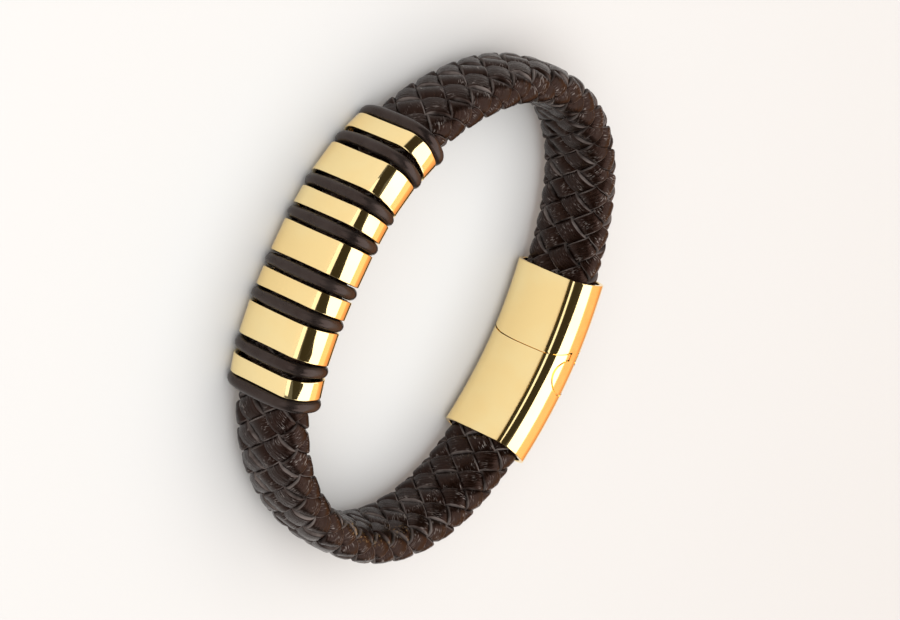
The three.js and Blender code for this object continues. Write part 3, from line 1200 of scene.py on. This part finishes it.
@dataclass
class Clasp:
    """Curved gold clasp whose halves meet at a seam with a keyhole tongue, in millimetres."""

    loop: Loop
    start: float = 88.47
    length: float = 28.0
    width: float = 14.0
    thickness: float = 7.3
    corner: float = 2.9
    wall: float = 0.65
    rim: float = 0.14
    rim_steps: int = 5
    step: float = 0.35
    corner_steps: int = 16
    flat_steps: int = 16
    socket: float = 8.5
    floor_step: float = 0.5
    wall_rows: int = 12
    clear: float = 2.0
    over: float = 1.0
    seam_at: float = 11.1
    seam_dip: float = 1.5
    seam_dip_ease: float = 2.2
    seam_rise: float = 0.4
    seam_tilt: float = -0.36
    seam_gap: float = 0.28
    seam_rows: int = 60
    lip_from: float = 8.1
    lip_to: float = 17.9
    lip_depth: float = 0.36
    lip_play: float = 0.03
    neck: float = 1.3
    neck_width: float = 1.5
    bulb: float = 2.6
    bulb_offset: float = 0.72
    bulb_depth: float = 2.0
    bulb_steps: int = 72
    line_steps: int = 3001
    skin_near: float = 0.01
    skin_facing: float = 0.9

    def _row(self, at: float, inset: float) -> np.ndarray:
        """Return one row of the body at a distance from the start, with its outline inset.

        Args:
            at: Distance from the start.
            inset: How far the outline lies under the skin.

        Returns:
            Points in metres.
        """
        sizes = self.width - 2 * inset, self.thickness - 2 * inset, self.corner - inset
        outline = rounded_outline(*sizes, self.corner_steps, self.flat_steps)
        return self.loop.bend(self.start + at, outline[:, 0], outline[:, 1])

    def _end_rows(self) -> list[Span]:
        """Return distance and inset of the rows from the socket's floor over the rim."""
        distances = np.linspace(self.socket - self.floor_step, self.rim, self.wall_rows)
        rows = [(self.socket, self.wall), *((at, self.wall) for at in distances)]
        angles = np.linspace(0.0, math.pi / 2, self.rim_steps)
        near, far = self.rim * (1 - np.sin(angles)), self.rim * (1 - np.cos(angles))
        rows += list(zip(near[1:], self.wall - far[1:]))
        rows += list(zip(far, near))
        return rows

    def _body(self) -> Item:
        """Return the whole clasp before it is parted, with a blind socket at each end."""
        ends = self._end_rows()
        count = round((self.length - 2 * self.rim) / self.step)
        middle = [(at, 0.0) for at in np.linspace(self.rim, self.length - self.rim, count + 1)[1:-1]]
        table = ends + middle + [(self.length - at, inset) for at, inset in reversed(ends)]
        return loft("clasp_body", [self._row(at, inset) for at, inset in table])

    def _seam(self, up: float, outward: float) -> float:
        """Return the seam's distance from the start.

        Args:
            up: Height over the centre line.
            outward: Offset away from the loop's middle.

        Returns:
            The distance.
        """
        from_floor = max(up + self.width / 2, 0.0)
        dip = self.seam_dip * (1.0 - math.exp(-from_floor / self.seam_dip_ease))
        rise = self.seam_rise * from_floor / self.width
        return self.seam_at + dip - rise + self.seam_tilt * (outward + self.thickness / 2)

    def _tongue_space(self, gap: float) -> Item:
        """Return the space on the tongue's side of the seam.

        Args:
            gap: How much the space is grown.

        Returns:
            A solid that reaches past the clasp on its other sides.
        """
        top, reach = self.width / 2, self.thickness
        rows = []
        for part in np.linspace(0.0, 1.0, self.seam_rows):
            up = -top + 2 * top * part**2
            height = up - self.over * (part == 0.0) + self.over * (part == 1.0)
            near = self._seam(up, -reach) + gap
            far = self._seam(up, reach) + gap
            corners = ((-self.clear, -reach), (near, -reach), (far, reach), (-self.clear, reach))
            rows.append(np.vstack([self.loop.bend(self.start + at, out, height) for at, out in corners]))
        return loft("tongue_space", rows)

    def _keyhole(self, gap: float) -> Item:
        """Return the keyhole tongue.

        Args:
            gap: How much the tongue is grown.

        Returns:
            A solid that reaches over the clasp's upper edge.
        """
        top = self.width / 2
        radius, half_neck = self.bulb + gap, self.neck_width / 2 + gap
        seam = self._seam(top, self.bulb_offset)
        centre = seam + self.neck + math.sqrt(self.bulb**2 - (self.neck_width / 2) ** 2)
        opening = math.asin(half_neck / radius)
        angles = np.linspace(math.pi - opening, opening - math.pi, self.bulb_steps)
        along = np.concatenate(([seam - self.neck], centre + radius * np.cos(angles), [seam - self.neck]))
        outward = self.bulb_offset + np.concatenate(([half_neck], radius * np.sin(angles), [-half_neck]))
        rows = [
            self.loop.bend(self.start + along, outward, np.full_like(along, height))
            for height in (top - self.bulb_depth - gap, top + self.over)
        ]
        return loft("keyhole", rows)

    def _lip(self, gap: float) -> Item:
        """Return the tongue's inner lip, which closes the seam just below the skin.

        Args:
            gap: How much the lip is grown.

        Returns:
            The lip as a solid.
        """
        count = round((self.lip_to - self.lip_from) / self.step)
        stations = np.linspace(self.lip_from - gap, self.lip_to + gap, count + 1)
        return loft("lip", [self._row(at, self.lip_depth - gap) for at in stations])

    def _half(self, body: Item, name: str, gap: float, cut: Cut) -> Item:
        """Return one half of the body.

        Args:
            body: The whole clasp.
            name: Name of the half.
            gap: How much the tongue's side is grown.
            cut: KEEP gives the tongue's side with its lip and REMOVE the other.

        Returns:
            The half as a plain mesh.
        """
        space, keyhole = self._tongue_space(gap), self._keyhole(gap)
        self._boolean(space, keyhole, Cut.JOIN)
        half = link_object(name, body.data.copy())
        self._boolean(half, space, cut)
        keeps_lip = cut is Cut.KEEP
        lip = self._lip(0.0 if keeps_lip else self.lip_play)
        self._boolean(half, lip, Cut.JOIN if keeps_lip else Cut.REMOVE)
        half.data.name = name
        remove([space, keyhole, lip])
        return half

    @staticmethod
    def _boolean(item: Item, tool: Item, cut: Cut) -> None:
        """Apply a boolean to an object's mesh.

        Args:
            item: Object that changes.
            tool: Object that it is cut by or joined with.
            cut: What happens.
        """
        modifier = item.modifiers.new("cut", "BOOLEAN")
        modifier.operation, modifier.solver, modifier.object = cut.value, "EXACT", tool
        mesh = applied_mesh(item)
        item.modifiers.clear()
        item.data = mesh

    def _true_normals(self, half: Item) -> None:
        """Give the outer surface the exact normals of its rule, and leave cut faces flat.

        Args:
            half: One half of the clasp.
        """
        mesh = half.data
        points = np.empty(len(mesh.vertices) * 3)
        mesh.vertices.foreach_get("co", points)
        points = points.reshape(-1, 3) / MM
        lengths = np.linspace(self.start - self.over, self.start + self.length + self.over, self.line_steps)
        line, _, side = self.loop.place(lengths)
        nearest = np.argmin(((points[:, None, :2] - line[None]) ** 2).sum(axis=-1), axis=1)
        out_side = side[nearest]
        outward = ((points[:, :2] - line[nearest]) * out_side).sum(axis=-1)
        up = points[:, 2] - self.loop.height
        reach_out, reach_up = self.thickness / 2 - self.corner, self.width / 2 - self.corner
        past_out = outward - np.clip(outward, -reach_out, reach_out)
        past = np.stack((past_out, up - np.clip(up, -reach_up, reach_up)), axis=-1)
        distance = np.linalg.norm(past, axis=-1)
        on_skin = np.abs(distance - self.corner) < self.skin_near
        across = past / np.maximum(distance, 1e-9)[:, None]
        true = np.concatenate((out_side * across[:, :1], across[:, 1:]), axis=-1)
        normals = []
        for face in mesh.polygons:
            flat = np.array(face.normal)
            for corner in face.vertices:
                skin = on_skin[corner] and float(true[corner] @ flat) > self.skin_facing
                normals.append(true[corner] if skin else flat)
        mesh.shade_smooth()
        mesh.normals_split_custom_set([tuple(float(part) for part in normal) for normal in normals])

    def build(self) -> list[Item]:
        """Return both halves, dressed and placed."""
        body = self._body()
        gold = PolishedGold(name="clasp_gold").make()
        halves = [
            self._half(body, "tongue_shell", 0.0, Cut.KEEP),
            self._half(body, "notch_shell", self.seam_gap, Cut.REMOVE),
        ]
        remove([body])
        for half, node in zip(halves, ("clasp_tongue_half", "clasp_notch_half")):
            self._true_normals(half)
            half.data.materials.clear()
            half.data.materials.append(gold)
            settle(half, [node])
        return halves


# --------------------------------------------------------------------------- the studio


@dataclass(frozen=True)
class Card:
    """A soft light card, in metres, that faces a point."""

    name: str
    at: Spot
    size: Span
    power: float
    colour: Spot = (1.0, 1.0, 1.0)
    faces: Spot = (0.0, 0.0, 0.007)
    shines: bool = True

    def add(self) -> None:
        """Add the card to the scene."""
        light = bpy.data.lights.new(self.name, "AREA")
        light.shape = "RECTANGLE"
        light.size, light.size_y = self.size
        light.energy = self.power
        light.color = self.colour
        item = link_object(self.name, light)
        item.location = self.at
        item.rotation_euler = (Vector(self.faces) - Vector(self.at)).to_track_quat("-Z", "Y").to_euler()
        item.visible_camera = False
        item.visible_glossy = self.shines


@dataclass(frozen=True)
class Flag:
    """A bent, nearly black panel round a centre, in metres, that only shows in glossy surfaces.

    Each row of edges gives an azimuth from the -X side and the lower and upper elevation there, in degrees.
    """

    name: str
    edges: tuple[Spot, ...]
    away: float = 0.75
    centre: Spot = (0.0, 0.0, 0.0)
    glow: Colour = (0.040, 0.034, 0.022, 1.0)

    def _spot(self, azimuth: float, elevation: float) -> Spot:
        """Return the point of the panel in a direction.

        Args:
            azimuth: Angle from the -X side towards the +Y side, in degrees.
            elevation: Angle over the horizon, in degrees.

        Returns:
            The point.
        """
        turn, tilt = math.radians(azimuth), math.radians(elevation)
        flat = self.away * math.cos(tilt)
        x, y, z = self.centre
        return (x - flat * math.cos(turn), y + flat * math.sin(turn), z + self.away * math.sin(tilt))

    def add(self) -> None:
        """Add the panel to the scene."""
        low = [self._spot(azimuth, below) for azimuth, below, _ in self.edges]
        high = [self._spot(azimuth, above) for azimuth, _, above in self.edges]
        count = len(self.edges)
        faces = [(i, i + 1, count + i + 1, count + i) for i in range(count - 1)]
        panel = add_mesh(self.name, np.array(low + high), faces)
        look = Shading(self.name)
        look.set(Base_Color=(0.0, 0.0, 0.0, 1.0), Roughness=1.0, Specular_IOR_Level=0.0)
        look.set(Emission_Color=self.glow, Emission_Strength=1.0)
        panel.data.materials.append(look.material)
        panel.visible_camera = panel.visible_diffuse = panel.visible_shadow = False


@dataclass
class Studio:
    """Pale floor, soft light cards, black flags and the camera."""

    camera_at: Spot = (-0.33228, 0.03227, 0.27065)
    camera_turn: Spot = (-27.804, -46.066, 30.779)
    lens: float = 119.72
    sensor: float = 36.0
    clip: Span = (0.01, 20.0)
    floor_reach: float = 3.0
    sky: Colour = (0.62, 0.61, 0.60, 1.0)
    sky_strength: float = 0.22
    cards: tuple[Card, ...] = (
        Card("ceiling_card", (0.20, 0.0, 0.80), (1.2, 2.4), 20.0, faces=(0.20, 0.0, 0.0)),
        Card("fill_card", (-0.75, 0.05, 0.75), (1.2, 0.8), 16.4, shines=False),
        Card("cream_card", (0.804, 0.0, 0.675), (2.0, 0.165), 1.25, (1.0, 0.66, 0.34)),
        Card("honey_card", (0.900, 0.0, 0.541), (2.0, 0.165), 1.05, (1.0, 0.47, 0.15)),
        Card("amber_card", (0.974, 0.0, 0.393), (2.0, 0.165), 0.95, (1.0, 0.38, 0.09)),
        Card("warm_card", (1.036, 0.0, 0.173), (2.0, 0.29), 1.30, (1.0, 0.35, 0.07)),
        Card("low_card", (-0.80, 0.0, 0.15), (1.2, 0.28), 1.3),
    )
    flags: tuple[Flag, ...] = (
        Flag(
            "camera_side_flag",
            (
                (95.0, 3.0, 38.0),
                (68.0, 3.0, 42.0),
                (40.0, 6.0, 42.0),
                (27.0, 17.0, 56.0),
                (8.0, 22.0, 66.0),
                (-14.0, 25.0, 69.0),
                (-35.0, 33.0, 73.0),
                (-60.0, 35.0, 75.0),
            ),
        ),
        Flag(
            "loop_flag",
            tuple((azimuth, -11.0, 8.0) for azimuth in (75.0, 40.0, 5.0, -30.0, -65.0)),
            away=0.024,
            centre=(0.0240, -0.0040, 0.0124),
        ),
    )

    def build(self) -> None:
        """Add floor, sky, cards, flags and camera."""
        scene = bpy.context.scene
        turns = ((-1.0, -1.0), (1.0, -1.0), (1.0, 1.0), (-1.0, 1.0))
        corners = np.array([(x * self.floor_reach, y * self.floor_reach, 0.0) for x, y in turns])
        floor = add_mesh("floor", corners, [(0, 1, 2, 3)])
        floor.data.materials.append(PaleFloor().make())
        world = bpy.data.worlds.new("soft_room")
        world.use_nodes = True
        room = world.node_tree.nodes["Background"]
        room.inputs["Color"].default_value = self.sky
        room.inputs["Strength"].default_value = self.sky_strength
        scene.world = world
        for item in (*self.cards, *self.flags):
            item.add()
        camera = link_object("camera", bpy.data.cameras.new("camera"))
        camera.data.lens, camera.data.sensor_width = self.lens, self.sensor
        camera.data.clip_start, camera.data.clip_end = self.clip
        camera.location = self.camera_at
        camera.rotation_euler = [math.radians(angle) for angle in self.camera_turn]
        scene.camera = camera
        scene.view_settings.view_transform = "Standard"
        LOG.info("studio: %d light cards, %d flags", len(self.cards), len(self.flags))


def main() -> None:
    """Build the bracelet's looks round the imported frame."""
    logging.basicConfig(level=logging.INFO, format="%(name)s: %(message)s")
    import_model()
    loop = Loop()
    for part in (Plait(loop), RingRun(loop), Clasp(loop)):
        pieces = part.build()
        LOG.info("%s: %d pieces", type(part).__name__, len(pieces))
    Studio().build()


if __name__ == "__main__":
    main()
